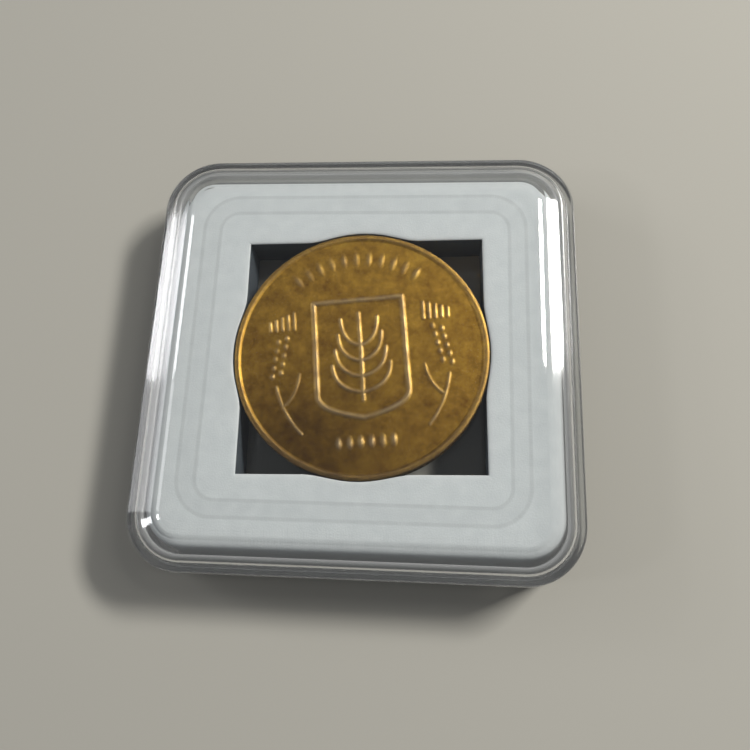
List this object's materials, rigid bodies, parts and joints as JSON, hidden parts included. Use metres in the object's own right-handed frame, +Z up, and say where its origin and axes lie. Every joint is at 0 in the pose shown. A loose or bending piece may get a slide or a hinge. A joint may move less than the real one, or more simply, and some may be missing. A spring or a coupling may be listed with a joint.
{
  "type": "coin capsule",
  "caption": "Square clear press-fit capsule with rounded corners; a white foam inlay grips a round brass-coloured coin under the window.",
  "frame": {"origin": "centre of the underside, on the surface that the capsule stands on", "axes": "+Z up through the window, square to the plates; +X to the right and +Y away from the viewer, parallel to the sides"},
  "size_m": [0.0388, 0.0388, 0.0063],
  "materials": {
    "clear_shell_lower": "polished",
    "clear_shell_upper": "polished",
    "white_foam": "matte",
    "coin_metal": "satin"
  },
  "bodies": {
    "base": {"base": "clear_shell_lower"},
    "foam_inlay": {"foam_inlay": "white_foam"},
    "coin": {"coin": "coin_metal"},
    "lid": {"lid": "clear_shell_upper"}
  },
  "joints": [
    {"name": "inlay_lift", "type": "slide", "parent": "base", "child": "foam_inlay", "axis": [0, 0, 1], "range_m": [0, 0.012]},
    {"name": "coin_lift", "type": "slide", "parent": "foam_inlay", "child": "coin", "axis": [0, 0, 1], "range_m": [0, 0.012]},
    {"name": "lid_lift", "type": "slide", "parent": "coin", "child": "lid", "axis": [0, 0, 1], "range_m": [0, 0.025]}
  ]
}
